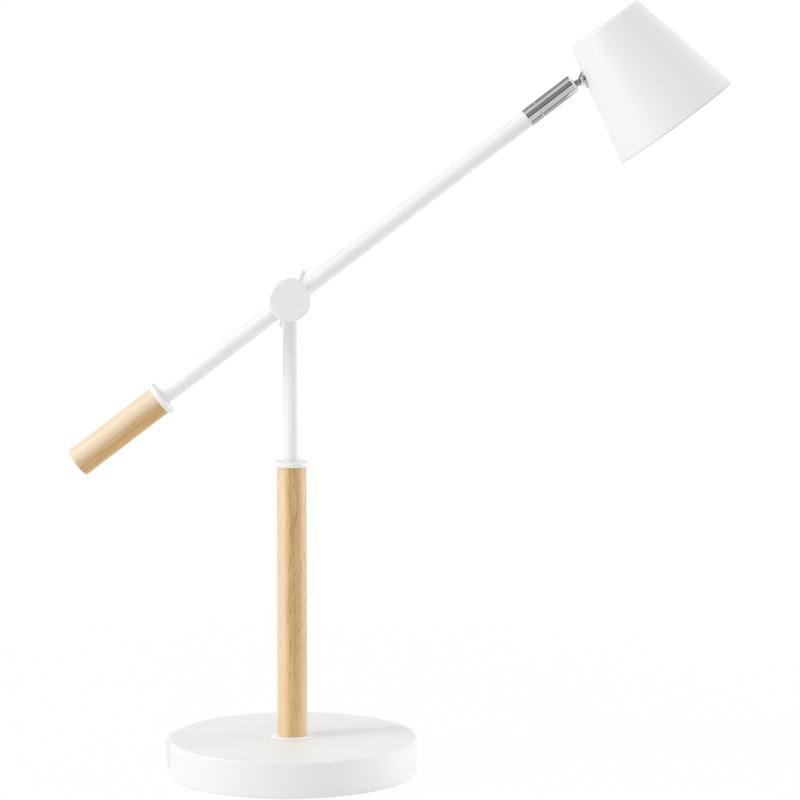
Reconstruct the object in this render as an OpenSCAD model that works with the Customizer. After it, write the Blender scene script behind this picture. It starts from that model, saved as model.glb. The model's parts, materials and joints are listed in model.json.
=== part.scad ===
// Desk lamp with a wooden pole, a counterweighted swing arm and a cone shade on a ball joint.
// The origin is on the desk under the middle of the base. X points to the shade, Z is up.

/* [Base] */
// Diameter of the base
base_d = 180; // [165:1:200]
// Height of the base's top face above the desk
base_h = 26.5; // [26:0.5:34]
// Wall of the base cover
base_wall = 3; // [2.5:0.1:3.5]
// Rounding of the cover's top edge
base_edge = 3; // [0.8:0.1:3.2]
// Rounding of the cover's lower edge
skirt_edge = 1.2; // [0.5:0.1:2]
// Gap between the cover's lower edge and the desk
skirt_gap = 0.8; // [0.5:0.1:1.2]
// Thickness of the soft pad under the base
pad_t = 1.5; // [1.3:0.1:2.2]
// Thickness of the steel floor plate
floor_t = 2; // [1.8:0.1:2.5]
// Thickness of the ballast disc
ballast_t = 7; // [5:0.5:7.5]
// Hole in the middle of the ballast
ballast_hole_d = 24; // [20:1:40]
// Diameter of the screw bosses inside the cover
boss_d = 8; // [7:0.5:9]
// Shank of the floor screws
floor_screw_d = 3; // [2.5:0.1:3.5]

/* [Touch control and board] */
// Diameter of the dished touch area
touch_d = 18; // [14:1:20]
// Thickness of the touch area's insert
touch_t = 1.2; // [1:0.1:1.5]
// Depth of the dish
touch_dish = 0.5; // [0.3:0.1:0.7]
// Distance of the touch area from the base's edge
touch_inset = 24; // [22:1:27]
// How far the touch area sits toward the front
touch_front = 6; // [4:0.5:7]
// Diameter of the touch contact pin
contact_d = 5; // [4:0.5:6]
// Diameter of the light window
light_d = 1.4; // [1:0.1:2]
// Distance of the light window from the base's edge
light_inset = 11.6; // [10:0.2:12.6]
// Width of the control board
board_w = 30; // [29:1:34]
// Thickness of the control board
board_t = 1.6; // [1.2:0.1:2]
// Height of the posts that carry the board
post_h = 5; // [4:0.5:5.5]
// Diameter of those posts
post_d = 6; // [5:0.5:6.5]
// Shank of the board screws
board_screw_d = 2.5; // [2:0.1:3]

/* [Power inlet] */
// Width of the side plate
port_w = 40; // [36:1:50]
// Height of the side plate, under the cover's rounded top edge
port_h = 17; // [15:0.1:17.4]
// How far the side plate's face stands beyond the base's edge
port_out = 0.4; // [0.2:0.1:1.2]
// Height of the socket's middle above the desk
port_z = 16.6; // [16:0.1:17]
// Diameter of the socket's nose
nose_d = 8.8; // [8.4:0.1:9.4]
// Bore of the socket
socket_bore_d = 6.4; // [5.6:0.1:6.8]
// Diameter of the socket's pin
socket_pin_d = 2.1; // [1.6:0.1:2.5]
// Depth of the socket's bore
socket_depth = 10.5; // [9:0.5:12]
// Width and height of the socket's block
socket_block = 10.4; // [9.6:0.2:11]

/* [Pole] */
// Diameter of the wood, pole and counterweight alike
wood_d = 21.4; // [20:0.2:24]
// Length of the pole
pole_len = 195.3; // [160:1:230]
// Diameter of the ring at the pole's foot
ring_d = 31; // [27:1:36]
// Thickness of that ring
ring_t = 1.2; // [0.8:0.1:2]
// Diameter of the tie rod
rod_d = 10; // [9:0.5:11]
// Wire bore of the tie rod
rod_bore_d = 5; // [4:0.5:6]
// Height of the rod's nut
nut_h = 6; // [5:0.5:6.5]
// Width across the nut's flats
nut_af = 17; // [16:0.5:19]
// Diameter of the rod's washer
washer_d = 24; // [22:1:28]
// Thickness of the rod's washer
washer_t = 1.8; // [1.4:0.1:2.2]

/* [Collars and tubes] */
// Diameter of both collars
collar_d = 25.4; // [25:0.2:28]
// Thickness of both collars
collar_t = 4; // [3.6:0.1:5]
// Rounding of the collars' rims
collar_edge = 1.2; // [0.6:0.1:1.6]
// Diameter of the collars' spigots inside the wood
spigot_d = 16; // [15:0.2:16.6]
// Length of the pole collar's spigot
spigot_len = 24; // [22:1:30]
// Diameter of the upright tube and the arm tube
tube_d = 12; // [11.4:0.1:12.4]
// Wall of both tubes
tube_wall = 1.3; // [1.1:0.1:1.5]
// Shank of the set screw that keeps the tube in its collar
set_screw_d = 2.6; // [2:0.1:2.8]
// Thickness of the thrust washer under the upright tube
thrust_t = 1; // [0.8:0.1:1.5]

/* [Pivot and lock] */
// Height of the pivot above the pole collar
upright_h = 116.5; // [90:0.5:150]
// Diameter of the hubs
hub_d = 29.6; // [28:0.2:34]
// Length of each hub
hub_len = 13; // [12.8:0.1:16]
// Thickness of the disc in front
cap_t = 4.4; // [4:0.1:6]
// Bevel around that disc
cap_bevel = 1.5; // [0.8:0.1:2]
// Width of the groove behind the disc
cap_groove = 0.8; // [0.5:0.1:1.2]
// Diameter of the pivot bolt
bolt_d = 5; // [4.5:0.1:5.5]
// Diameter of its head
bolt_head_d = 9; // [8:0.5:11]
// Height of its head
bolt_head_h = 2.4; // [2:0.1:2.6]
// Diameter of the friction washer
friction_d = 26; // [22:0.5:27]
// Thickness of the friction washer
friction_t = 0.7; // [0.5:0.1:1.2]
// Diameter of the lock nut
lock_d = 12; // [10.5:0.5:14]
// Length of the lock nut
lock_len = 11.5; // [11:0.1:14]
// Diameter of the lock bar
bar_d = 4.6; // [4:0.1:5]
// Length of the lock bar
bar_len = 43.5; // [34:0.5:60]
// Angle of the lock bar above the desk's plane
bar_angle = 65.8; // [0:0.1:90]

/* [Arm] */
// Angle of the arm above the desk's plane
arm_angle = 37.4; // [25:0.1:45]
// From the pivot to the chrome end
head_reach = 211.6; // [170:0.2:240]
// From the pivot to the counterweight's collar
weight_reach = 113.6; // [90:0.2:140]
// Length of the counterweight's wood
weight_len = 74; // [60:0.5:90]
// Diameter of the steel slug in it
slug_d = 16; // [14:0.2:17]
// Thickness of the wood beyond the slug
weight_end_t = 6; // [4:0.5:10]
// How far the tube reaches into the wood
weight_grip = 12; // [11:0.5:16]

/* [Ball joint] */
// Diameter of the chrome socket
socket_d = 13.4; // [13:0.1:15]
// Length of the chrome ring behind the socket
cuff_len = 10; // [8:0.2:14]
// Length of the slotted socket
sleeve_len = 31.1; // [30:0.1:36]
// Diameter of the swivel neck
swivel_d = 8; // [7:0.1:8.4]
// Thickness of the socket's rear wall
sleeve_back = 9; // [7:0.2:10]
// Diameter of the ball
ball_d = 10.8; // [10.4:0.1:11]
// From the ball's middle to the socket's mouth
mouth_out = 5; // [4.6:0.1:5.4]
// Diameter of the mouth's opening
mouth_d = 8.6; // [8.2:0.1:9]
// Diameter of the neck
neck_d = 4.8; // [4.4:0.1:5]
// Play of the neck in the slot, on each side
slot_play = 0.5; // [0.4:0.1:0.7]
// How far the stem points below the arm
nod_angle = 13.4; // [5:0.1:25]
// From the ball's middle to the shade's side
stem_len = 12.7; // [12.5:0.1:18]
// Diameter of the conical flange
flange_d = 12.6; // [11:0.1:15]
// Thickness of the flange's rim
flange_rim = 1.3; // [1:0.1:1.6]
// Height of the flange's cone
flange_cone = 2.8; // [2.2:0.1:3.2]

/* [Shade] */
// Diameter of the closed end
shade_top_d = 57.4; // [56:0.2:70]
// Diameter of the open end
shade_rim_d = 95.4; // [80:0.2:120]
// Length along its axis
shade_len = 86; // [70:0.5:110]
// Wall of the shade
shade_wall = 1; // [0.8:0.1:1.4]
// Rounding of the closed end's edge
shade_edge = 1.8; // [1.6:0.1:3]
// Thickness that the hem adds inside the open end
hem_t = 0.8; // [0.4:0.1:1.2]
// Width of that hem
hem_w = 3; // [2:0.1:5]
// From the closed end's edge down the side to the stem
stem_down = 23.9; // [22:0.1:30]

/* [Light module] */
// Gap between the shade's top and the heat sink
sink_gap = 2.8; // [2:0.1:4]
// Diameter of the heat sink
sink_d = 44; // [43:0.5:46]
// Thickness of the heat sink
sink_t = 10; // [8:0.5:11]
// Diameter of the LED board
led_board_d = 37; // [34:0.5:38]
// Thickness of the LED board
led_board_t = 1.6; // [1:0.1:2]
// Edge length of an LED
led_w = 3; // [2.5:0.1:3.5]
// Height of an LED
led_h = 0.8; // [0.6:0.1:1.2]
// Diameter of the diffuser cup
diffuser_d = 42; // [41:0.2:42.6]
// Length of the diffuser cup
diffuser_len = 20; // [14:0.5:30]
// Wall of the diffuser cup
diffuser_wall = 1.5; // [1.2:0.1:1.8]
// Width across the flats of the stem's nut
stem_nut_af = 8; // [7.5:0.1:9]
// Height of the stem's nut
stem_nut_h = 3.2; // [2.6:0.1:3.6]
// Shank of the heat sink's screws
sink_screw_d = 3; // [2.5:0.1:3.2]

/* [Wires] */
// Diameter of the wires inside the lamp
wire_d = 2; // [1.6:0.1:2.2]

/* [Fits] */
// Play of a turning fit, on the radius
run_fit = 0.05; // [0.03:0.01:0.08]
// Play of a fixed fit, on the radius
seat_fit = 0.05; // [0.02:0.01:0.1]
// Gap between parts that move past each other
move_gap = 0.3; // [0.2:0.05:0.4]

/* [Hidden] */
$fn = 72;
round_fn = 144;
cone_fn = 256;
arc_steps = 6;
cut = 0.5;

// Base
base_r = base_d / 2;
cavity_r = base_r - base_wall;
ceiling_z = base_h - base_wall;
floor_top_z = pad_t + floor_t;
ballast_top_z = floor_top_z + ballast_t;
boss_margin = 2;
boss_ring_r = cavity_r - boss_d / 2 - boss_margin;
ballast_play = 1;
ballast_r = boss_ring_r - boss_d / 2 - ballast_play;
floor_head_d = 2 * floor_screw_d;
floor_head_h = floor_screw_d / 2;
floor_screw_len = 12;
pad_r = boss_ring_r - floor_head_d / 2 - ballast_play;
boss_angles = [45, 135, 225, 315];

// Touch control and board
touch_x = base_r - touch_inset;
touch_y = -touch_front;
light_x = base_r - light_inset;
light_y = -1.3;
contact_play = 0.2;
board_back = 18;
board_front = 6;
board_x0 = touch_x - board_back;
board_x1 = light_x + board_front;
board_top_z = ceiling_z - post_h;
board_z = board_top_z - board_t;
post_edge = 0.5;
post_y = board_w / 2 - post_d / 2 - post_edge;
post_forward = 4;
post_x = touch_x + post_forward;
board_head_d = 2 * board_screw_d;
board_head_h = 1.4;
screw_stop = 1;
board_screw_len = post_h + board_t - screw_stop;
terminal_in = 1;
terminal_l = 8;
terminal_w = 22;
terminal_gap = 0.3;
terminal_z = ballast_top_z + terminal_gap;
terminal_x = board_x0 + terminal_in;
chip_l = 9;
chip_w = 8;
chip_t = 1.4;
chip_back = 1;
chip_x = post_x - chip_back;

// Power inlet
port_edge = 1.4;
port_drop = 1.5;
port_top_z = base_h - port_drop;
port_bottom_z = port_top_z - port_h;
port_window_w = 32;
nose_play = 0.1;
nose_back = 0.4;
block_gap = 0.6;
block_len = boss_d + boss_margin - block_gap - seat_fit;
block_x = -(cavity_r - block_gap);
nose_tip_x = -(base_r + port_out - nose_back);
pin_back = 4.8;

// Wires in the base
wire_r = wire_d / 2;
bend_swell = 1.15;
bend_d = wire_d * bend_swell;
wire_z = terminal_z + wire_r + terminal_gap;
inlet_wire_y = socket_block / 3;
inlet_wire_z = port_z - socket_block / 3;

// Pole
rod_fit_d = rod_d + 2 * seat_fit;
pole_z = base_h + ring_t;
pole_top_z = pole_z + pole_len;
rod_below_nut = 0.8;
rod_z = ceiling_z - washer_t - nut_h - rod_below_nut;
rod_grip = 8;
rod_top_z = pole_top_z - spigot_len + rod_grip;
web_t = 2;
swivel_floor_z = rod_top_z + web_t;
collar_top_z = pole_top_z + collar_t;
pole_play = 0.3;
pole_bore_d = rod_d + 2 * pole_play;

// Upright
tube_bore_d = tube_d - 2 * tube_wall;
tube_z = swivel_floor_z + thrust_t;
thrust_lip = 1;
groove_z = pole_top_z + collar_t / 2;
groove_share = 0.6;
groove_depth = tube_wall * groove_share;
tip_share = 0.7;
tip_d = set_screw_d * tip_share;
groove_w = tip_d + 2 * move_gap;
set_screw_back = 0.4;
pivot_z = collar_top_z + upright_h;
bolt_clear = 2;
hub_bore_top = bolt_d / 2 + bolt_clear;

// Pivot, from the back to the front along Y
rear_hub_back = hub_len / 2;
arm_y = -(hub_len + friction_t + move_gap);
arm_hub_back = arm_y + hub_len / 2;
arm_hub_front = arm_y - hub_len / 2;
cap_groove_depth = 0.8;
bolt_head_play = 0.3;
lock_front = rear_hub_back + move_gap;
bar_behind = 1.2;
lock_bar_y = lock_front + lock_len - bar_d / 2 - bar_behind;
bolt_end_y = lock_bar_y - bar_d / 2 - move_gap;
bar_edge = 0.4;

// Arm
tube_start = -(weight_reach + collar_t + weight_grip);
weight_start = -(weight_reach + collar_t);
weight_end = weight_start - weight_len;
slug_end = weight_end + weight_end_t;
wood_edge = 0.6;
plug_d = tube_bore_d - 2 * seat_fit;
plug_len = 12;
spigot_short = 2;
weight_spigot_len = weight_grip - spigot_short;

// Ball joint, measured along the arm from the pivot
cuff_end = head_reach + cuff_len;
sleeve_start = cuff_end + move_gap;
sleeve_end = sleeve_start + sleeve_len;
ball_reach = sleeve_end - mouth_out;
chamber_start = sleeve_start + sleeve_back;
ball_ease = 0.1;
sleeve_bore_r = ball_d / 2 + ball_ease;
clip_t = 0.8;
clip_start = chamber_start + move_gap;
clip_rim = 1.1;
clip_d = swivel_d + 2 * clip_rim;
clip_depth = 0.5;
clip_groove_d = swivel_d - 2 * clip_depth;
swivel_lip = 0.6;
swivel_end = clip_start + clip_t + swivel_lip;
seat_len = 5;
seat_end = ball_reach - ball_d / 4;
seat_start = seat_end - seat_len;
seat_hole_d = 5;
spring_start = swivel_end + move_gap;
spring_end = seat_start;
spring_count = 4;
spring_bore_play = 0.6;
spring_in_r = seat_hole_d / 2 + spring_bore_play;
spring_rim_play = 0.2;
spring_out_r = sleeve_bore_r - spring_rim_play;
spring_t = 0.5;
spring_play = 0.02;
sleeve_edge = 2.2;
wire_room = 0.6;
swivel_bore_d = wire_d + 2 * wire_room;
slot_w = neck_d + 2 * slot_play;
ball_x = ball_reach * cos(arm_angle);
ball_z = pivot_z + ball_reach * sin(arm_angle);

// Stem, measured from the ball's middle
stem_angle = arm_angle - nod_angle;
stem_wire_room = 0.3;
stem_bore_d = wire_d + 2 * stem_wire_room;
saddle_t = 1.6;
washer_start = stem_len + shade_wall + saddle_t;
nut_end = washer_start + stem_nut_h;
stem_past_nut = 0.8;
stem_end = nut_end + stem_past_nut;
ridge_depth = 0.3;
ridge_pitch = 1.1;
ridge_count = 3;
ridge_gap = 0.6;
ridge_start = mouth_out + ridge_gap;
stem_washer_d = 11;
flange_start = stem_len - flange_rim - flange_cone;
throat_t = 0.6;
flange_throat_d = neck_d + 2 * throat_t;
flange_step = 0.7;
flange_lip_d = flange_d - 2 * flange_step;

// Shade, measured along its axis from the closed end
cone_angle = atan((shade_rim_d - shade_top_d) / 2 / shade_len);
shade_slope = tan(cone_angle);
wall_across = shade_wall / cos(cone_angle);
stem_seat_r = shade_top_d / 2 + stem_down * sin(cone_angle);
stem_seat_a = stem_down * cos(cone_angle);
sink_a = shade_wall + sink_gap;
sink_end = sink_a + sink_t;
led_board_end = sink_end + led_board_t;
sink_boss_t = 1.7;
sink_boss_d = sink_screw_d + 2 * sink_boss_t;
sink_screw_r = 12;
sink_angles = [90, 210, 330];
sink_head_d = 2 * sink_screw_d;
sink_head_h = 2;
fin_count = 3;
sink_floor = 4;
fin_depth = sink_t - sink_floor;
fin_w = 2;
fin_margin = 0.5;
fin_in_r = sink_screw_r + sink_head_d / 2 + fin_margin;
led_ring_r = 11;
led_count = 8;

white_paint = [0.93, 0.93, 0.92];
light_wood = [0.86, 0.69, 0.5];
chrome_plate = [0.72, 0.74, 0.76];
bare_steel = [0.6, 0.61, 0.63];
dark_part = [0.2, 0.2, 0.21];
board_green = [0.1, 0.36, 0.22];
opal_white = [0.97, 0.97, 0.94];
wire_grey = [0.35, 0.35, 0.37];
fibre_grey = [0.5, 0.48, 0.45];
led_yellow = [0.95, 0.85, 0.45];

// Points of an arc, from one angle to another
function arc(x, y, r, from, to) =
  [for (i = [0:arc_steps]) let (a = from + (to - from) * i / arc_steps) [x + r * cos(a), y + r * sin(a)]];

// A cylinder along X
module bar_x(from, to, d) {
  translate([from, 0, 0]) rotate([0, 90, 0]) cylinder(d = d, h = to - from);
}

// A cylinder along Y
module bar_y(from, to, d) {
  translate([0, from, 0]) rotate([-90, 0, 0]) cylinder(d = d, h = to - from);
}

// A profile of radius and distance, turned about X
module turned_x() {
  rotate([0, 90, 0]) rotate_extrude() children();
}

// A straight wire between two points
module wire_run(a, b) {
  v = b - a;
  translate(a)
    rotate([0, acos(v.z / norm(v)), atan2(v.y, v.x)])
      cylinder(d = wire_d, h = norm(v));
}

// A screw that points up, with a countersunk head from z = 0
module countersunk(d, head_d, head_h, length) {
  cylinder(d1 = head_d, d2 = d, h = head_h);
  cylinder(d = d, h = length);
}

// The arm's own frame: X along the arm from the pivot
module in_arm() {
  translate([0, arm_y, pivot_z]) rotate([0, -arm_angle, 0]) children();
}

// The stem's own frame: X along the stem from the ball's middle
module in_stem() {
  translate([ball_x, arm_y, ball_z]) rotate([0, -stem_angle, 0]) children();
}

// The shade's own frame: Z along its axis from the closed end, with the stem on its X side
module in_shade() {
  in_stem()
    translate([stem_len, 0, 0])
      rotate([0, 180 - cone_angle, 0])
        translate([-stem_seat_r, 0, -stem_seat_a])
          children();
}

// The cone that the shade's outside follows, less an inset measured across the wall
module shade_cone(inset) {
  cylinder(r1 = shade_top_d / 2 - inset, r2 = shade_rim_d / 2 - inset, h = shade_len, $fn = cone_fn);
}

// A collar's rim with rounded edges, from z = 0 up
module collar_rim() {
  r = collar_d / 2;
  e = collar_edge;
  rotate_extrude()
    polygon(concat(
      [[0, 0]],
      arc(r - e, e, e, -90, 0),
      arc(r - e, collar_t - e, e, 0, 90),
      [[0, collar_t]]
    ));
}

module at_bosses() {
  for (a = boss_angles) rotate([0, 0, a]) translate([boss_ring_r, 0, 0]) children();
}

module at_posts() {
  for (side = [-1, 1]) translate([post_x, side * post_y, 0]) children();
}

module base_cover_solid() {
  rotate_extrude($fn = round_fn)
    polygon(concat(
      [[0, ceiling_z], [cavity_r, ceiling_z], [cavity_r, skirt_gap]],
      arc(base_r - skirt_edge, skirt_gap + skirt_edge, skirt_edge, -90, 0),
      arc(base_r - base_edge, base_h - base_edge, base_edge, 0, 90),
      [[0, base_h]]
    ));
}

module base_shell() {
  color(white_paint)
    difference() {
      union() {
        base_cover_solid();
        at_bosses() translate([0, 0, floor_top_z]) cylinder(d = boss_d, h = ceiling_z - floor_top_z);
        at_posts() translate([0, 0, board_top_z]) cylinder(d = post_d, h = post_h);
      }
      at_bosses()
        translate([0, 0, floor_top_z - cut])
          cylinder(d = floor_screw_d + 2 * seat_fit, h = floor_screw_len + cut);
      at_posts()
        translate([0, 0, board_top_z - cut])
          cylinder(d = board_screw_d + 2 * seat_fit, h = post_h + cut);
      translate([0, 0, ceiling_z - cut]) cylinder(d = rod_fit_d, h = base_wall + 2 * cut);
      translate([touch_x, touch_y, base_h - touch_t])
        cylinder(d = touch_d + 2 * seat_fit, h = touch_t + cut);
      translate([touch_x, touch_y, ceiling_z - cut])
        cylinder(d = contact_d + 2 * contact_play, h = base_wall);
      translate([light_x, light_y, ceiling_z - cut])
        cylinder(d = light_d + 2 * seat_fit, h = base_wall + 2 * cut);
      translate([-base_r - cut, -port_w / 2 - seat_fit, port_bottom_z - seat_fit])
        cube([block_x + base_r + cut, port_w + 2 * seat_fit, port_h + 2 * seat_fit]);
      translate([-base_r - cut, -port_window_w / 2, port_bottom_z - seat_fit])
        cube([2 * base_wall, port_window_w, ceiling_z - port_bottom_z]);
    }
}

module floor_plate() {
  color(bare_steel)
    difference() {
      translate([0, 0, pad_t]) cylinder(r = cavity_r - seat_fit, h = floor_t, $fn = round_fn);
      at_bosses() {
        translate([0, 0, pad_t]) cylinder(d1 = floor_head_d, d2 = floor_screw_d, h = floor_head_h);
        translate([0, 0, pad_t - cut]) cylinder(d = floor_screw_d + 2 * seat_fit, h = floor_t + 2 * cut);
      }
    }
}

module ballast() {
  color(dark_part)
    translate([0, 0, floor_top_z])
      difference() {
        cylinder(r = ballast_r, h = ballast_t, $fn = round_fn);
        translate([0, 0, -cut]) cylinder(d = ballast_hole_d, h = ballast_t + 2 * cut);
      }
}

module foot_pad() {
  color(dark_part) cylinder(r = pad_r, h = pad_t, $fn = round_fn);
}

module base_screws() {
  color(bare_steel)
    at_bosses()
      translate([0, 0, pad_t])
        countersunk(floor_screw_d, floor_head_d, floor_head_h, floor_t + floor_screw_len - screw_stop);
}

module touch_pad() {
  r = touch_d / 2;
  dish_r = (r * r + touch_dish * touch_dish) / (2 * touch_dish);
  half = asin(r / dish_r);
  color(white_paint)
    translate([touch_x, touch_y, base_h - touch_t])
      rotate_extrude()
        polygon(concat(
          [[0, 0], [r, 0]],
          arc(0, touch_t + dish_r - touch_dish, dish_r, -90 + half, -90)
        ));
}

module touch_contact() {
  color(bare_steel)
    translate([touch_x, touch_y, board_top_z])
      cylinder(d = contact_d, h = base_h - touch_t - board_top_z);
}

module status_light() {
  color(dark_part)
    translate([light_x, light_y, board_top_z])
      cylinder(d = light_d, h = base_h - board_top_z);
}

module control_board() {
  color(board_green)
    difference() {
      union() {
        translate([board_x0, -board_w / 2, board_z]) cube([board_x1 - board_x0, board_w, board_t]);
        translate([terminal_x, -terminal_w / 2, terminal_z])
          cube([terminal_l, terminal_w, board_z - terminal_z]);
        translate([chip_x, -chip_w / 2, board_z - chip_t]) cube([chip_l, chip_w, chip_t]);
      }
      at_posts()
        translate([0, 0, board_z - cut])
          cylinder(d = board_screw_d + 2 * seat_fit, h = board_t + 2 * cut);
    }
}

module board_screws() {
  color(bare_steel)
    at_posts() {
      translate([0, 0, board_z - board_head_h]) cylinder(d = board_head_d, h = board_head_h);
      translate([0, 0, board_z - board_head_h])
        cylinder(d = board_screw_d, h = board_head_h + board_screw_len);
    }
}

module port_plate() {
  face_x = -base_r - port_out;
  color(white_paint)
    difference() {
      translate([0, port_w / 2, 0])
        rotate([90, 0, 0])
          linear_extrude(port_w)
            polygon(concat(
              [[block_x, port_bottom_z], [block_x, port_top_z]],
              arc(face_x + port_edge, port_top_z - port_edge, port_edge, 90, 180),
              [[face_x, port_bottom_z]]
            ));
      translate([0, 0, port_z]) bar_x(face_x - cut, block_x + cut, nose_d + 2 * nose_play);
    }
}

module power_socket() {
  color(dark_part)
    translate([0, 0, port_z])
      difference() {
        union() {
          translate([block_x, -socket_block / 2, -socket_block / 2])
            cube([block_len, socket_block, socket_block]);
          bar_x(nose_tip_x, block_x + block_len / 2, nose_d);
        }
        difference() {
          bar_x(nose_tip_x - cut, nose_tip_x + socket_depth, socket_bore_d);
          bar_x(nose_tip_x + pin_back, nose_tip_x + socket_depth + cut, socket_pin_d);
        }
      }
}

module inlet_wire() {
  color(wire_grey)
    translate([0, inlet_wire_y, inlet_wire_z])
      bar_x(block_x + block_len, terminal_x, wire_d);
}

module base_wire() {
  color(wire_grey)
    translate([0, 0, wire_z]) {
      bar_x(0, terminal_x, wire_d);
      sphere(d = bend_d);
      cylinder(d = wire_d, h = rod_top_z + web_t - move_gap - wire_z);
    }
}

module base_ring() {
  color(white_paint)
    translate([0, 0, base_h])
      difference() {
        cylinder(d = ring_d, h = ring_t);
        translate([0, 0, -cut]) cylinder(d = rod_fit_d, h = ring_t + 2 * cut);
      }
}

module pole() {
  color(light_wood)
    difference() {
      translate([0, 0, pole_z]) cylinder(d = wood_d, h = pole_len);
      translate([0, 0, pole_z - cut]) cylinder(d = pole_bore_d, h = pole_len + 2 * cut);
      translate([0, 0, pole_top_z - spigot_len - seat_fit])
        cylinder(d = spigot_d + 2 * seat_fit, h = spigot_len + cut);
    }
}

module tie_rod() {
  color(bare_steel)
    translate([0, 0, rod_z])
      difference() {
        cylinder(d = rod_d, h = rod_top_z - rod_z);
        translate([0, 0, -cut]) cylinder(d = rod_bore_d, h = rod_top_z - rod_z + 2 * cut);
      }
}

module rod_washer() {
  color(bare_steel)
    translate([0, 0, ceiling_z - washer_t])
      difference() {
        cylinder(d = washer_d, h = washer_t);
        translate([0, 0, -cut]) cylinder(d = rod_fit_d, h = washer_t + 2 * cut);
      }
}

module rod_nut() {
  color(bare_steel)
    translate([0, 0, ceiling_z - washer_t - nut_h])
      difference() {
        cylinder(d = nut_af / cos(30), h = nut_h, $fn = 6);
        translate([0, 0, -cut]) cylinder(d = rod_fit_d, h = nut_h + 2 * cut);
      }
}

module pole_collar() {
  color(white_paint)
    difference() {
      union() {
        translate([0, 0, pole_top_z]) collar_rim();
        translate([0, 0, pole_top_z - spigot_len]) cylinder(d = spigot_d, h = spigot_len + collar_t / 2);
      }
      translate([0, 0, pole_top_z - spigot_len - cut]) cylinder(d = rod_fit_d, h = rod_grip + cut);
      translate([0, 0, rod_top_z - cut]) cylinder(d = rod_bore_d, h = web_t + 2 * cut);
      translate([0, 0, swivel_floor_z]) cylinder(d = tube_d + 2 * run_fit, h = collar_top_z);
      translate([0, 0, groove_z]) bar_y(0, collar_d, set_screw_d + 2 * seat_fit);
    }
}

module collar_screw() {
  color(bare_steel)
    translate([0, 0, groove_z]) {
      bar_y(tube_d / 2 + move_gap, collar_d / 2 - set_screw_back, set_screw_d);
      bar_y(tube_d / 2 - groove_depth + move_gap, tube_d / 2 + move_gap + cut, tip_d);
    }
}

module swivel_washer() {
  color(opal_white)
    translate([0, 0, swivel_floor_z])
      difference() {
        cylinder(d = tube_d - 2 * seat_fit, h = thrust_t);
        translate([0, 0, -cut]) cylinder(d = tube_bore_d - 2 * thrust_lip, h = thrust_t + 2 * cut);
      }
}

module upright_tube() {
  tube_h = pivot_z - hub_bore_top - tube_z - move_gap;
  color(white_paint)
    difference() {
      translate([0, 0, tube_z + move_gap]) cylinder(d = tube_d, h = tube_h);
      translate([0, 0, tube_z]) cylinder(d = tube_bore_d, h = tube_h + 2 * cut);
      translate([0, 0, groove_z - groove_w / 2])
        difference() {
          cylinder(d = tube_d + 2 * cut, h = groove_w);
          translate([0, 0, -cut]) cylinder(d = tube_d - 2 * groove_depth, h = groove_w + 2 * cut);
        }
    }
}

module rear_hub() {
  color(white_paint)
    translate([0, 0, pivot_z])
      difference() {
        bar_y(-hub_len / 2, hub_len / 2, hub_d);
        translate([0, 0, -hub_d]) cylinder(d = tube_d + 2 * seat_fit, h = hub_d - hub_bore_top);
        translate([0, 0, -hub_bore_top - cut]) cylinder(d = rod_bore_d, h = hub_bore_top + cut);
        bar_y(-hub_len, hub_len, bolt_d + 2 * run_fit);
      }
}

module upright_wire() {
  wire_start = rod_top_z + web_t + move_gap;
  color(wire_grey)
    translate([0, 0, wire_start])
      cylinder(d = wire_d, h = pivot_z - bolt_d / 2 - move_gap - wire_start);
}

module arm_tube() {
  color(white_paint)
    in_arm()
      difference() {
        bar_x(tube_start, head_reach, tube_d);
        bar_x(tube_start - cut, head_reach + cut, tube_bore_d);
        bar_y(-tube_d, tube_d, bolt_d + 2 * seat_fit);
      }
}

module arm_hub() {
  color(white_paint)
    in_arm()
      difference() {
        bar_y(-hub_len / 2, hub_len / 2, hub_d);
        bar_x(-hub_d, hub_d, tube_d + 2 * seat_fit);
        bar_y(-hub_len, hub_len, bolt_d + 2 * seat_fit);
      }
}

module pivot_cap() {
  r = hub_d / 2;
  color(white_paint)
    translate([0, arm_hub_front, pivot_z])
      rotate([90, 0, 0])
        difference() {
          rotate_extrude()
            polygon(concat(
              [[0, 0], [r - cap_groove_depth, 0], [r - cap_groove_depth, cap_groove], [r, cap_groove]],
              arc(r - cap_bevel, cap_t - cap_bevel, cap_bevel, 0, 90),
              [[0, cap_t]]
            ));
          translate([0, 0, -cut])
            cylinder(d = bolt_head_d + 2 * bolt_head_play, h = bolt_head_h + bolt_head_play + cut);
        }
}

module pivot_bolt() {
  color(bare_steel)
    translate([0, 0, pivot_z]) {
      bar_y(arm_hub_front - bolt_head_h, arm_hub_front, bolt_head_d);
      bar_y(arm_hub_front - bolt_head_h, bolt_end_y, bolt_d);
    }
}

module friction_washer() {
  color(fibre_grey)
    translate([0, 0, pivot_z])
      difference() {
        bar_y(arm_hub_back, arm_hub_back + friction_t, friction_d);
        bar_y(arm_hub_back - cut, arm_hub_back + friction_t + cut, bolt_d + 2 * seat_fit);
      }
}

module counterweight() {
  r = wood_d / 2;
  color(light_wood)
    in_arm()
      difference() {
        translate([weight_end, 0, 0])
          turned_x()
            polygon([[0, 0], [r - wood_edge, 0], [r, wood_edge], [r, weight_len], [0, weight_len]]);
        bar_x(slug_end, weight_start + cut, slug_d + 2 * seat_fit);
        bar_x(weight_start - weight_spigot_len - seat_fit, weight_start + cut, spigot_d + 2 * seat_fit);
      }
}

module weight_slug() {
  color(bare_steel)
    in_arm() {
      bar_x(slug_end, tube_start, slug_d);
      bar_x(tube_start - cut, tube_start + plug_len, plug_d);
    }
}

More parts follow.
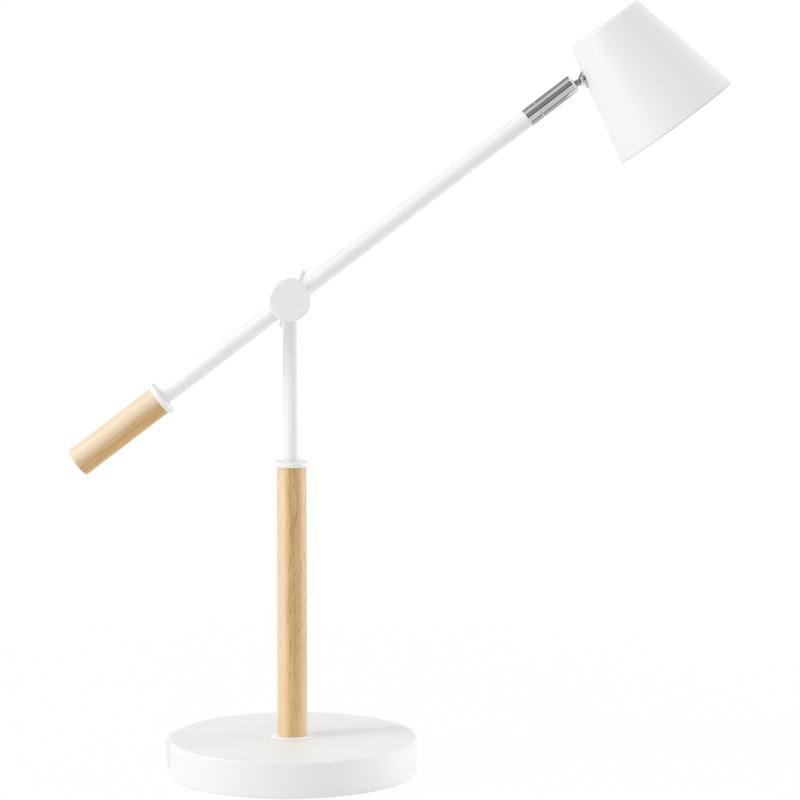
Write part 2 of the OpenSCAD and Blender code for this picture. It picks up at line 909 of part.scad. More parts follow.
module weight_collar() {
  color(white_paint)
    in_arm()
      difference() {
        union() {
          translate([weight_start, 0, 0]) rotate([0, 90, 0]) collar_rim();
          bar_x(weight_start - weight_spigot_len, weight_start + collar_t / 2, spigot_d);
        }
        bar_x(weight_start - weight_spigot_len - cut, weight_start + collar_t + cut, tube_d + 2 * seat_fit);
      }
}

module socket_base() {
  color(chrome_plate)
    in_arm()
      difference() {
        union() {
          bar_x(head_reach - plug_len, head_reach + cut, plug_d);
          bar_x(head_reach, cuff_end, socket_d);
          bar_x(cuff_end - cut, swivel_end, swivel_d);
        }
        bar_x(head_reach - plug_len - cut, swivel_end + cut, swivel_bore_d);
        difference() {
          bar_x(clip_start, clip_start + clip_t, swivel_d + 2 * cut);
          bar_x(clip_start - cut, clip_start + clip_t + cut, clip_groove_d);
        }
      }
}

module swivel_clip() {
  color(bare_steel)
    in_arm()
      difference() {
        bar_x(clip_start, clip_start + clip_t, clip_d);
        bar_x(clip_start - cut, clip_start + clip_t + cut, clip_groove_d);
      }
}

module arm_wire() {
  color(wire_grey) in_arm() bar_x(bolt_d / 2 + move_gap, swivel_end, wire_d);
}

module lock_nut() {
  color(white_paint)
    translate([0, 0, pivot_z])
      difference() {
        bar_y(lock_front, lock_front + lock_len, lock_d);
        bar_y(lock_front - cut, bolt_end_y + move_gap / 2, bolt_d + 2 * run_fit);
        translate([0, lock_bar_y, 0]) rotate([0, -bar_angle, 0]) bar_x(-lock_d, lock_d, bar_d + 2 * seat_fit);
      }
}

module lock_bar() {
  r = bar_d / 2;
  color(white_paint)
    translate([0, lock_bar_y, pivot_z])
      rotate([0, -bar_angle, 0])
        translate([-bar_len / 2, 0, 0])
          turned_x()
            polygon([
              [0, 0], [r - bar_edge, 0], [r, bar_edge],
              [r, bar_len - bar_edge], [r - bar_edge, bar_len], [0, bar_len]
            ]);
}

module socket_sleeve() {
  r = socket_d / 2;
  e = sleeve_edge;
  lip = sqrt(pow(ball_d / 2 + run_fit, 2) - pow(mouth_d / 2, 2));
  color(chrome_plate)
    in_arm()
      difference() {
        translate([sleeve_start, 0, 0])
          turned_x()
            polygon(concat(
              [[0, 0], [r, 0]],
              arc(r - e, sleeve_len - e, e, 0, 90),
              [[0, sleeve_len]]
            ));
        bar_x(sleeve_start - cut, chamber_start + cut, swivel_d + 2 * run_fit);
        bar_x(chamber_start, ball_reach, 2 * sleeve_bore_r);
        translate([ball_reach, 0, 0]) sphere(d = ball_d + 2 * run_fit);
        bar_x(ball_reach + lip - cut, sleeve_end + cut, mouth_d);
        translate([ball_reach, 0, 0]) {
          translate([0, -slot_w / 2, -socket_d]) cube([sleeve_len, slot_w, socket_d]);
          translate([0, 0, -socket_d]) cylinder(d = slot_w, h = socket_d);
        }
      }
}

// Disc springs stacked edge to edge, turned about every other time
module seat_spring() {
  pitch = (spring_end - spring_start) / spring_count;
  top = pitch - spring_play;
  color(bare_steel)
    in_arm()
      for (i = [0:spring_count - 1]) {
        low = i % 2 == 0 ? 0 : top - spring_t;
        high = i % 2 == 0 ? top - spring_t : 0;
        translate([spring_start + i * pitch, 0, 0])
          turned_x()
            polygon([
              [spring_in_r, high], [spring_out_r, low],
              [spring_out_r, low + spring_t], [spring_in_r, high + spring_t]
            ]);
      }
}

module ball_seat() {
  r = sleeve_bore_r - seat_fit;
  cup_r = ball_d / 2 + run_fit;
  hole_r = seat_hole_d / 2;
  color(opal_white)
    in_arm()
      translate([ball_reach, 0, 0])
        turned_x()
          polygon(concat(
            [[hole_r, seat_start - ball_reach], [r, seat_start - ball_reach], [r, seat_end - ball_reach]],
            arc(0, 0, cup_r, asin((seat_end - ball_reach) / cup_r), -acos(hole_r / cup_r))
          ));
}

module ball_stem() {
  color(chrome_plate)
    in_stem()
      difference() {
        union() {
          sphere(d = ball_d);
          bar_x(0, stem_end, neck_d);
        }
        bar_x(-ball_d, stem_end + cut, stem_bore_d);
        for (i = [0:ridge_count - 1])
          translate([ridge_start + i * ridge_pitch, 0, 0])
            difference() {
              bar_x(0, ridge_pitch / 2, neck_d + 2 * cut);
              bar_x(-cut, ridge_pitch / 2 + cut, neck_d - 2 * ridge_depth);
            }
      }
}

module stem_flange() {
  color(chrome_plate)
    difference() {
      in_stem()
        difference() {
          union() {
            translate([flange_start, 0, 0])
              rotate([0, 90, 0])
                cylinder(d1 = flange_throat_d, d2 = flange_lip_d, h = flange_cone);
            bar_x(stem_len - flange_rim, stem_len + shade_wall, flange_d);
          }
          bar_x(0, stem_end, neck_d + 2 * run_fit);
        }
      in_shade() shade_cone(0);
    }
}

module shade() {
  top_r = shade_top_d / 2;
  rim_r = shade_rim_d / 2;
  e = shade_edge;
  edge_r = top_r + e * shade_slope - e / cos(cone_angle);
  inner_r = top_r - wall_across;
  hem_a = shade_len - hem_w;
  hem_r = inner_r + hem_a * shade_slope;
  color(white_paint)
    in_shade()
      difference() {
        union() {
          rotate_extrude($fn = round_fn)
            polygon(concat(
              [[0, 0]],
              arc(edge_r, e, e, -90, -cone_angle),
              [
                [rim_r, shade_len],
                [rim_r - wall_across - hem_t, shade_len],
                [hem_r - hem_t, hem_a],
                [hem_r - hem_t * shade_slope, hem_a - hem_t],
                [inner_r + shade_wall * shade_slope, shade_wall],
                [0, shade_wall]
              ]
            ));
          for (a = sink_angles)
            rotate([0, 0, a])
              translate([sink_screw_r, 0, shade_wall / 2])
                cylinder(d = sink_boss_d, h = sink_a - shade_wall / 2);
        }
        for (a = sink_angles)
          rotate([0, 0, a])
            translate([sink_screw_r, 0, shade_wall])
              cylinder(d = sink_screw_d + 2 * seat_fit, h = sink_a);
        translate([stem_seat_r, 0, stem_seat_a])
          rotate([0, -90 + cone_angle, 0])
            translate([0, 0, -shade_top_d / 4])
              cylinder(d = neck_d + 2 * run_fit, h = shade_top_d / 2);
      }
}

module stem_washer() {
  color(bare_steel)
    intersection() {
      in_stem()
        difference() {
          bar_x(stem_len, washer_start, stem_washer_d);
          bar_x(0, stem_end, neck_d + 2 * run_fit);
        }
      in_shade() shade_cone(wall_across);
    }
}

module stem_nut() {
  color(bare_steel)
    in_stem()
      difference() {
        translate([washer_start, 0, 0])
          rotate([0, 90, 0])
            cylinder(d = stem_nut_af / cos(30), h = stem_nut_h, $fn = 6);
        bar_x(washer_start - cut, nut_end + cut, neck_d + 2 * run_fit);
      }
}

module at_sink_screws() {
  for (a = sink_angles) rotate([0, 0, a]) translate([sink_screw_r, 0, 0]) children();
}

module heat_sink() {
  fin_step = (sink_d / 2 - fin_in_r) / fin_count;
  color(bare_steel)
    in_shade()
      difference() {
        translate([0, 0, sink_a]) cylinder(d = sink_d, h = sink_t);
        for (i = [0:fin_count - 1])
          translate([0, 0, sink_a - cut])
            difference() {
              cylinder(r = fin_in_r + (i + 1) * fin_step - fin_w / 2, h = fin_depth + cut);
              translate([0, 0, -cut]) cylinder(r = fin_in_r + i * fin_step, h = fin_depth + 3 * cut);
            }
        at_sink_screws() {
          translate([0, 0, sink_a - cut])
            cylinder(d = sink_screw_d + 2 * seat_fit, h = sink_t + 2 * cut);
          translate([0, 0, sink_end - sink_head_h])
            cylinder(d = sink_head_d + 2 * seat_fit, h = sink_head_h + cut);
        }
      }
}

module sink_screws() {
  color(bare_steel)
    in_shade()
      at_sink_screws() {
        translate([0, 0, sink_end - sink_head_h]) cylinder(d = sink_head_d, h = sink_head_h);
        translate([0, 0, shade_wall + seat_fit])
          cylinder(d = sink_screw_d, h = sink_end - sink_head_h - shade_wall);
      }
}

module led_board() {
  color(opal_white) in_shade() translate([0, 0, sink_end]) cylinder(d = led_board_d, h = led_board_t);
}

module led_chips() {
  color(led_yellow)
    in_shade()
      for (i = [0:led_count - 1])
        rotate([0, 0, i * 360 / led_count])
          translate([led_ring_r - led_w / 2, -led_w / 2, led_board_end])
            cube([led_w, led_w, led_h]);
}

module diffuser() {
  color(opal_white)
    in_shade()
      translate([0, 0, sink_end])
        difference() {
          cylinder(d = diffuser_d, h = diffuser_len);
          translate([0, 0, -cut])
            cylinder(d = diffuser_d - 2 * diffuser_wall, h = diffuser_len - diffuser_wall + cut);
        }
}

module head_wire() {
  past_stem = stem_end + wire_r - stem_len;
  bend = [stem_seat_r - past_stem * cos(cone_angle), 0, stem_seat_a + past_stem * sin(cone_angle)];
  tail = [sink_d / 2 + wire_r, 0, sink_end - wire_d];
  color(wire_grey) {
    in_stem() bar_x(wire_d - ball_d / 2, stem_end + wire_r, wire_d);
    in_shade() {
      translate(bend) sphere(d = bend_d);
      wire_run(bend, tail);
    }
  }
}

base_shell();
floor_plate();
ballast();
foot_pad();
base_screws();
touch_pad();
touch_contact();
status_light();
control_board();
board_screws();
port_plate();
power_socket();
inlet_wire();
base_wire();
base_ring();
pole();
tie_rod();
rod_washer();
rod_nut();
pole_collar();
collar_screw();
swivel_washer();
upright_tube();
rear_hub();
upright_wire();
arm_tube();
arm_hub();
pivot_cap();
pivot_bolt();
friction_washer();
counterweight();
weight_slug();
weight_collar();
socket_base();
swivel_clip();
arm_wire();
lock_nut();
lock_bar();
socket_sleeve();
seat_spring();
ball_seat();
ball_stem();
stem_flange();
shade();
stem_washer();
stem_nut();
heat_sink();
sink_screws();
led_board();
led_chips();
diffuser();
head_wire();
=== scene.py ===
import json
import math

import bmesh
import bpy
from mathutils import Matrix, Vector


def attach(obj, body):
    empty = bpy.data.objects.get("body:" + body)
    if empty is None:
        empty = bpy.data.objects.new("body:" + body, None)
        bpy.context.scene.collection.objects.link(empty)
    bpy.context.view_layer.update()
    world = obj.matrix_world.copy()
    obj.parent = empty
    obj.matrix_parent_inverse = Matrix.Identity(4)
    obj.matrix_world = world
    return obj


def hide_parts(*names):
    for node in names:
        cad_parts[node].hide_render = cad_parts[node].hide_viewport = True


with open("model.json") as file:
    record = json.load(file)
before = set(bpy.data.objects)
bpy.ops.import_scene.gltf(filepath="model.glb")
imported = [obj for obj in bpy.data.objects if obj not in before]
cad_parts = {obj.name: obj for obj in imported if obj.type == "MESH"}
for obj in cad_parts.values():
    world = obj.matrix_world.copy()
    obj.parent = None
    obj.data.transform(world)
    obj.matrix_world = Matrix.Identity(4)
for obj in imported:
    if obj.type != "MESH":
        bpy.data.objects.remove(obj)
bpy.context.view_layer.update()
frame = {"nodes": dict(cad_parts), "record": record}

scene = bpy.context.scene
nodes = frame["nodes"]

# The lamp's own frames, as in the part's source: millimetres there, metres here
MM = 0.001
ARM_ANGLE = math.radians(37.4)
BALL_REACH = 248.0 * MM
STEM_ANGLE = math.radians(24.0)
STEM_LENGTH = 12.7 * MM
STEM_DOWN = 23.9 * MM
SHADE_TOP_R, SHADE_RIM_R, SHADE_LENGTH = 28.7 * MM, 47.7 * MM, 86.0 * MM
CONE_ANGLE = math.atan((SHADE_RIM_R - SHADE_TOP_R) / SHADE_LENGTH)
SEAT_R = SHADE_TOP_R + STEM_DOWN * math.sin(CONE_ANGLE)
SEAT_A = STEM_DOWN * math.cos(CONE_ANGLE)
X_FROM_Z = Matrix.Rotation(math.pi / 2, 4, "Y")


def at(x, y, z):
    return Matrix.Translation(Vector((x, y, z)) * MM)


def about_y(angle):
    return Matrix.Rotation(angle, 4, "Y")


ARM = at(0, -14, 343.5) @ about_y(-ARM_ANGLE)
STEM = Matrix.Translation(ARM @ Vector((BALL_REACH, 0, 0))) @ about_y(-STEM_ANGLE)
SEAT = STEM @ Matrix.Translation((STEM_LENGTH, 0, 0)) @ about_y(math.pi - CONE_ANGLE)
SHADE = SEAT @ Matrix.Translation((-SEAT_R, 0, -SEAT_A))


# Node trees

class Field:
    """A value in a node tree that takes part in ordinary arithmetic."""

    def __init__(self, net, socket):
        self.net = net
        self.socket = socket

    def _math(self, operation, *values):
        return self.net.add("ShaderNodeMath", {"operation": operation}, *values)

    def __add__(self, other):
        return self._math("ADD", self, other)

    def __sub__(self, other):
        return self._math("SUBTRACT", self, other)

    def __rsub__(self, other):
        return self._math("SUBTRACT", other, self)

    def __mul__(self, other):
        return self._math("MULTIPLY", self, other)

    def __truediv__(self, other):
        return self._math("DIVIDE", self, other)

    def __pow__(self, other):
        return self._math("POWER", self, other)

    __radd__ = __add__
    __rmul__ = __mul__

    def sine(self):
        return self._math("SINE", self)

    def cosine(self):
        return self._math("COSINE", self)

    def root(self):
        return self._math("SQRT", self)

    def ramp(self, low, high):
        """0 below low, 1 above high, smooth between."""
        settings = {"interpolation_type": "SMOOTHSTEP"}
        return self.net.add("ShaderNodeMapRange", settings, self, low, high, 0.0, 1.0)

    def part(self, name):
        """Another output of the same node."""
        return Field(self.net, self.socket.node.outputs[name])


class Net:
    """A node tree that is put together from fields."""

    def __init__(self, tree):
        self.tree = tree

    def put(self, socket, value):
        if isinstance(value, Field):
            self.tree.links.new(value.socket, socket)
        else:
            socket.default_value = value

    def add(self, kind, settings, *values, out=0, **named):
        """A node of that kind: its settings, then the values or fields of its sockets."""
        node = self.tree.nodes.new(kind)
        for key, value in settings.items():
            setattr(node, key, value)
        for socket, value in zip(node.inputs, values):
            self.put(socket, value)
        for key, value in named.items():
            self.put(node.inputs[key.replace("_", " ")], value)
        return Field(self, node.outputs[out] if node.outputs else None)


class Finish(Net):
    """A material with a Principled shader, built from fields."""

    def __init__(self, name):
        self.material = bpy.data.materials.new(name)
        self.material.use_nodes = True
        super().__init__(self.material.node_tree)
        self.tree.nodes.clear()
        self.shader = self.tree.nodes.new("ShaderNodeBsdfPrincipled")
        self.output = self.tree.nodes.new("ShaderNodeOutputMaterial")
        self.tree.links.new(self.shader.outputs["BSDF"], self.output.inputs["Surface"])

    def place(self, turn=(0, 0, 0), scale=(1, 1, 1), move=(0, 0, 0)):
        """The piece's own coordinates, seen from a frame at move that is turned, then scaled."""
        here = self.add("ShaderNodeTexCoord", {}, out="Object")
        spread = [1.0 / s for s in scale]
        return self.add("ShaderNodeMapping", {"vector_type": "TEXTURE"}, here, move, turn, spread)

    def noise(self, vector, scale=1.0, detail=2.0, rough=0.5):
        return self.add("ShaderNodeTexNoise", {}, Vector=vector, Scale=scale, Detail=detail, Roughness=rough)

    def blend(self, share, low, high):
        """A colour between two, as share goes from 0 to 1."""
        node = self.tree.nodes.new("ShaderNodeMix")
        node.data_type = "RGBA"
        self.put(node.inputs["Factor"], share)
        for socket, value in zip((s for s in node.inputs if s.type == "RGBA"), (low, high)):
            self.put(socket, value if isinstance(value, Field) else (*value, 1.0))
        return Field(self, next(s for s in node.outputs if s.type == "RGBA"))

    def set(self, **values):
        for key, value in values.items():
            socket = self.shader.inputs[key.replace("_", " ")]
            self.put(socket, (*value, 1.0) if isinstance(value, tuple) else value)

    def bump(self, height, strength, distance):
        self.set(Normal=self.add("ShaderNodeBump", {}, Strength=strength, Distance=distance, Height=height))


def white_finish(name, tone, roughness, grain, depth, painted_shade=None):
    """A sprayed or moulded white: a faint cloud in its tone, a fine even grain, and a greyer painted shade
    where one is given.
    """
    finish = Finish(name)
    cloud = finish.noise(finish.place(), 14.0, 3.0)
    speck = finish.noise(finish.place(), grain, 2.0, 0.6)
    low = tuple(0.972 * c for c in tone)
    colour = finish.blend(cloud.ramp(0.3, 0.7), low, tone)
    if painted_shade:
        # Painted shade: the tone greyed where the mask gives
        colour = finish.blend(painted_shade(finish), colour, tuple(0.77 * c for c in tone))
    finish.set(
        Base_Color=colour,
        Roughness=roughness + 0.06 * (speck - 0.5) + 0.06 * (cloud - 0.5),
        Specular_IOR_Level=0.5,
    )
    finish.bump(speck, 0.05, depth)
    return finish.material


def painted_rim_shade(finish):
    """Painted shade along the shade's turned rim: 1 there, 0 on the rest of it."""
    local = finish.place(SHADE.to_euler(), move=SHADE.to_translation())
    along = finish.add("ShaderNodeSeparateXYZ", {}, local, out="Z")
    return along.ramp(SHADE_LENGTH - 1.1 * MM, SHADE_LENGTH - 0.7 * MM)


def wood_finish(name, turn, middle, painted_sheen_shares, fleck_share, foot=0.0, painted_sheen_tone=(0.845, 0.645, 0.42)):
    """Golden wood, oiled to a satin, with fine brown flecks and a painted sheen that lightens its lit side.

    The grain runs along local Z through middle. The painted sheen, a lighter tone that stands for the
    highlight on the lit side, begins and is full at two shares of the radius, and the third value is how much
    of it shows on the far side as a painted rim light. Up to the height foot the wood is painted lighter for
    the light that the base throws up onto it."""
    finish = Finish(name)

    def grain(*scale, tilt=0.0, move=(0, 0, 0)):
        return finish.place((turn[0], turn[1] + tilt, turn[2]), scale, move)

    split = finish.add("ShaderNodeSeparateXYZ", {}, finish.place(turn, move=middle))
    across, deep, along = split.part("X"), split.part("Y"), split.part("Z")
    pith_x, pith_y = -21.0 * MM, -34.0 * MM
    reach = ((across - pith_x) ** 2.0 + (deep - pith_y) ** 2.0).root()
    rings = (reach * 1500.0 + finish.noise(grain(26, 26, 5), 1.0, 2.0) * 9.0).sine() * 0.5 + 0.5
    fibre = finish.noise(grain(900, 900, 28), 1.0, 3.0, 0.6)
    streak = finish.noise(grain(330, 330, 9), 1.0, 2.0)
    patch = finish.noise(grain(90, 90, 22), 1.0, 2.0)
    mottle = finish.noise(grain(300, 300, 55), 1.0, 3.0, 0.6)
    dash = finish.noise(grain(1050, 1050, 70, tilt=0.03), 1.0, 1.0)
    fleck = finish.noise(grain(1300, 1300, 210, tilt=0.05, move=(0.31, 0.17, 0.04)), 1.0, 1.0)
    flecks = dash.ramp(0.55, 0.72) * (0.35 + 0.65 * patch.ramp(0.35, 0.6)) + fleck.ramp(0.58, 0.74) * 0.8
    # Painted sheen: lighter on the lit -X side for its highlight, and on the far edge by the third share as a
    # painted rim light
    edge = across / WOOD_R + 0.25 * (mottle - 0.5)
    begin, full, far = painted_sheen_shares
    painted_sheen = (0.0 - edge).ramp(begin, full) + far * edge.ramp(0.15, 0.9)
    tone = finish.blend(patch.ramp(0.25, 0.75), (0.60, 0.345, 0.085), (0.71, 0.44, 0.14))
    tone = finish.blend(rings * 0.25, tone, (0.53, 0.30, 0.075))
    tone = finish.blend(streak.ramp(0.38, 0.66) * 0.7, tone, (0.50, 0.275, 0.066))
    tone = finish.blend(mottle.ramp(0.42, 0.66) * 0.6, tone, (0.50, 0.275, 0.066))
    tone = finish.blend(fibre.ramp(0.42, 0.68) * 0.55, tone, (0.76, 0.51, 0.20))
    tone = finish.blend(painted_sheen * 0.85, tone, painted_sheen_tone)
    # The flecks fade under the painted sheen, as the highlight would wash them out
    tone = finish.blend(flecks.ramp(0.0, 1.0) * fleck_share * (1.0 - 0.65 * painted_sheen), tone, (0.36, 0.17, 0.035))
    # Painted bounce light: lighter wood towards the foot, where the white base throws light up onto it
    if foot:
        tone = finish.blend(0.45 - 0.45 * along.ramp(0.25 * foot, foot), tone, (0.84, 0.56, 0.25))
    finish.set(
        Base_Color=tone,
        Roughness=0.5 + 0.15 * (fibre - 0.5) + 0.1 * flecks,
        Specular_IOR_Level=0.1,
        Coat_Weight=0.95 + 0.1 * (patch - 0.5),
        Coat_Roughness=0.45,
        Coat_IOR=1.85,
    )
    finish.bump(fibre * 0.4 - flecks * 0.25, 0.2, 0.1 * MM)
    return finish.material


def metal_finish(name, tone, roughness, spread, grain=900.0):
    """Bare or plated metal with fine wiping marks."""
    finish = Finish(name)
    mark = finish.noise(finish.place(), grain, 2.0)
    haze = finish.noise(finish.place(), 60.0, 3.0)
    dull = tuple(0.9 * c for c in tone)
    finish.set(
        Base_Color=finish.blend(haze.ramp(0.3, 0.7), dull, tone),
        Metallic=1.0,
        Roughness=roughness + spread * (mark - 0.5) + 0.5 * spread * (haze - 0.5),
    )
    return finish.material


def plain_finish(name, tone, roughness, grain, contrast=0.12):
    """Moulded plastic, rubber or fibre: a mottled tone and a fine grain."""
    finish = Finish(name)
    cloud = finish.noise(finish.place(), 70.0, 3.0)
    speck = finish.noise(finish.place(), grain, 2.0, 0.6)
    low = tuple((1.0 - contrast) * c for c in tone)
    finish.set(
        Base_Color=finish.blend((0.5 * cloud + 0.5 * speck).ramp(0.35, 0.65), low, tone),
        Roughness=roughness + 0.15 * (speck - 0.5),
    )
    finish.bump(speck, 0.3, 0.04 * MM)
    return finish.material


ALONG_ARM = (0.0, math.pi / 2 - ARM_ANGLE, 0.0)
WOOD_R = 10.7 * MM
white_paint = white_finish("white_powder_coat", (0.86, 0.86, 0.843), 0.34, 1900.0, 0.04 * MM)
white_plastic = white_finish("white_moulded_plastic", (0.86, 0.866, 0.86), 0.5, 2600.0, 0.03 * MM)
touch_white = white_finish("touch_area_plastic", (0.895, 0.895, 0.885), 0.6, 2600.0, 0.03 * MM)
# Painted light: the foot ring is lighter than the base's white, for the light at the pole's foot
ring_painted_light = white_finish("foot_ring_plastic", (0.93, 0.93, 0.92), 0.4, 2600.0, 0.03 * MM)
# The lamp shade's white carries a painted shadow along its rim
shade_white = white_finish("shade_powder_coat", (0.86, 0.86, 0.843), 0.34, 1900.0, 0.04 * MM, painted_rim_shade)
# Both woods carry a painted sheen on their lit side; the pole also a painted rim light and painted bounce
# light at its foot
pole_wood = wood_finish("pole_wood", turn=(0, 0, 0), middle=(0, 0, 0), painted_sheen_shares=(0.0, 0.55, 0.5),
                        fleck_share=0.9, foot=130.0 * MM)
weight_wood = wood_finish("weight_wood", turn=ALONG_ARM, middle=ARM.to_translation(),
                          painted_sheen_shares=(-0.5, 0.35, 0.0), fleck_share=0.3, painted_sheen_tone=(0.81, 0.66, 0.475))
chrome = metal_finish("polished_chrome", (0.92, 0.925, 0.94), 0.06, 0.05)
# Painted reflection: darker than the other chrome, for the darker surroundings that the flange reflects
flange_chrome = metal_finish("flange_chrome", (0.78, 0.785, 0.80), 0.07, 0.05)
# Near-black painted shade for the inside of the sleeve
bore_painted_shade = plain_finish("sleeve_bore", (0.02, 0.02, 0.021), 0.5, 1500.0, 0.3)
neck_steel = metal_finish("threaded_neck_steel", (0.50, 0.51, 0.52), 0.2, 0.1)
steel = metal_finish("bright_steel", (0.56, 0.57, 0.58), 0.32, 0.14)
iron = metal_finish("cast_iron", (0.12, 0.12, 0.125), 0.6, 0.2, 300.0)
aluminium = metal_finish("machined_aluminium", (0.72, 0.73, 0.74), 0.34, 0.14)
rubber = plain_finish("foot_rubber", (0.035, 0.035, 0.036), 0.8, 1500.0, 0.3)
dark_plastic = plain_finish("socket_plastic", (0.03, 0.03, 0.032), 0.5, 1800.0, 0.3)
light_window = plain_finish("light_window", (0.05, 0.05, 0.055), 0.2, 900.0, 0.3)
board_green = plain_finish("board_lacquer", (0.03, 0.16, 0.08), 0.4, 700.0, 0.3)
nylon = plain_finish("nylon", (0.80, 0.79, 0.74), 0.5, 1500.0)
fibre_board = plain_finish("friction_fibre", (0.30, 0.28, 0.26), 0.8, 1100.0, 0.35)
wire_jacket = plain_finish("wire_jacket", (0.12, 0.12, 0.13), 0.5, 1500.0, 0.2)
led_mask = plain_finish("led_board_mask", (0.85, 0.85, 0.83), 0.45, 900.0)
led_phosphor = plain_finish("led_phosphor", (0.85, 0.66, 0.2), 0.4, 2500.0, 0.25)
opal = plain_finish("opal_plastic", (0.88, 0.88, 0.86), 0.35, 1500.0, 0.04)

finish_of_slot = {
    "white_plastic": white_plastic, "white_paint": white_paint, "wood": pole_wood, "chrome": chrome,
    "steel": steel, "iron": iron, "aluminium": aluminium, "rubber": rubber, "dark_plastic": dark_plastic,
    "light_window": light_window, "board": board_green, "nylon": nylon, "fibre": fibre_board,
    "wire": wire_jacket, "led_board": led_mask, "led": led_phosphor, "opal": opal,
}
slot_of = {part["node"]: part["material_slot"] for part in frame["record"]["subparts"]}
body_of = {node: body for body, group in frame["record"]["behaviour"]["bodies"].items() for node in group}
finish_of = {node: finish_of_slot[slot] for node, slot in slot_of.items()}
finish_of.update(
    counterweight=weight_wood, touch_pad=touch_white, base_ring=ring_painted_light, shade=shade_white,
    ball_stem=neck_steel, stem_flange=flange_chrome,
)
for node, finish in finish_of.items():
    slots = nodes[node].data.materials
    for i in range(len(slots)):
        slots[i] = finish


# Shapes

def finished(name, mesh, node, hides=True, finish=None):
    """A piece that rides on a node's body and takes its slot, and stands for it if it hides it."""
    mesh.materials.clear()
    mesh.materials.append(finish or finish_of[node])
    mesh.shade_smooth()
    mesh.set_sharp_from_angle(angle=SHARP)
    mesh = evaluated(mesh, "WEIGHTED_NORMAL", keep_sharp=True)
    mesh.name = name
    piece = bpy.data.objects.new(name, mesh)
    scene.collection.objects.link(piece)
    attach(piece, body_of[node])
    if hides:
        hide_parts(node)


SHARP = math.radians(32)
FLAT = math.radians(0.3)
JOIN = 2e-6
EDGE_STEPS = 3


def eased(source, width):
    """A mesh with its faces joined and its sharp edges rounded."""
    form = bmesh.new()
    form.from_mesh(source)
    bmesh.ops.remove_doubles(form, verts=form.verts, dist=JOIN)
    bmesh.ops.dissolve_limit(form, angle_limit=FLAT, verts=form.verts, edges=form.edges)
    sharp = [e for e in form.edges if len(e.link_faces) == 2 and e.calc_face_angle(0.0) > SHARP]
    bmesh.ops.bevel(form, geom=sharp, offset=width * MM, segments=EDGE_STEPS, profile=0.5, affect="EDGES",
                    clamp_overlap=True)
    mesh = bpy.data.meshes.new("eased")
    form.to_mesh(mesh)
    form.free()
    return mesh


def softened(node, width):
    """A node's own shape with its sharp edges rounded."""
    finished(node + "_finished", eased(nodes[node].data, width), node)


def rounded(outline, steps=5):
    """An outline's points, with an arc at each corner that names a radius."""
    points = []
    for corner, before, after in zip(outline, outline[-1:] + outline[:-1], outline[1:] + outline[:1]):
        here = Vector(corner[:2])
        radius = corner[2] if len(corner) > 2 else 0.0
        if not radius:
            points.append(here)
            continue
        to_before = (Vector(before[:2]) - here).normalized()
        to_after = (Vector(after[:2]) - here).normalized()
        half = to_before.angle(to_after) / 2
        middle = here + (to_before + to_after).normalized() * radius / math.sin(half)
        start = here + to_before * radius / math.tan(half) - middle
        end = here + to_after * radius / math.tan(half) - middle
        sweep = start.angle(end)
        for k in range(steps + 1):
            t = k / steps
            arc = start * math.sin((1 - t) * sweep) + end * math.sin(t * sweep)
            points.append(middle + arc / math.sin(sweep))
    return points


def turned(outline, place, steps=72):
    """A shape turned about local Z from a closed outline of radius and height in millimetres."""
    form = bmesh.new()
    rings = []
    for radius, height in rounded(outline):
        if radius < 1e-6:
            pole = form.verts.new((0.0, 0.0, height * MM))
            rings.append([pole] * steps)
            continue
        turns = [2 * math.pi * k / steps for k in range(steps)]
        spots = [Vector((radius * math.cos(t), radius * math.sin(t), height)) * MM for t in turns]
        rings.append([form.verts.new(spot) for spot in spots])
    for low, high in zip(rings, rings[1:] + rings[:1]):
        for k in range(steps):
            loop = [low[k], low[(k + 1) % steps], high[(k + 1) % steps], high[k]]
            face = [v for i, v in enumerate(loop) if v not in loop[:i]]
            if len(face) > 2:
                form.faces.new(face)
    bmesh.ops.recalc_face_normals(form, faces=form.faces)
    form.transform(place)
    mesh = bpy.data.meshes.new("turned")
    form.to_mesh(mesh)
    form.free()
    return mesh


def evaluated(mesh, kind, node_tree=None, sizes=None, **settings):
    """The plain mesh that one modifier makes of a mesh."""
    piece = bpy.data.objects.new("work", mesh)
    scene.collection.objects.link(piece)
    modifier = piece.modifiers.new("work", kind)
    if node_tree:
        modifier.node_group = node_tree
        for item in node_tree.interface.items_tree:
            if item.in_out == "INPUT" and item.name in sizes:
                modifier[item.identifier] = sizes[item.name]
    for key, value in settings.items():
        setattr(modifier, key, value)
    graph = bpy.context.evaluated_depsgraph_get()
    result = bpy.data.meshes.new_from_object(piece.evaluated_get(graph))
    bpy.data.objects.remove(piece)
    return result


def prism(points, low, high):
    """A straight-sided shape over a flat outline, in millimetres."""
    form = bmesh.new()
    floor = [form.verts.new(Vector((x, y, low)) * MM) for x, y in points]
    roof = [form.verts.new(Vector((x, y, high)) * MM) for x, y in points]
    form.faces.new(floor)
    form.faces.new(roof)
    for k in range(len(points)):
        n = (k + 1) % len(points)
        form.faces.new([floor[k], floor[n], roof[n], roof[k]])
    bmesh.ops.recalc_face_normals(form, faces=form.faces)
    mesh = bpy.data.meshes.new("prism")
    form.to_mesh(mesh)
    form.free()
    return mesh


def carved(mesh, cutter):
    """A mesh less a cutter."""
    tool = bpy.data.objects.new("cutter", cutter)
    scene.collection.objects.link(tool)
    result = evaluated(mesh, "BOOLEAN", operation="DIFFERENCE", solver="EXACT", object=tool)
    bpy.data.objects.remove(tool)
    return result


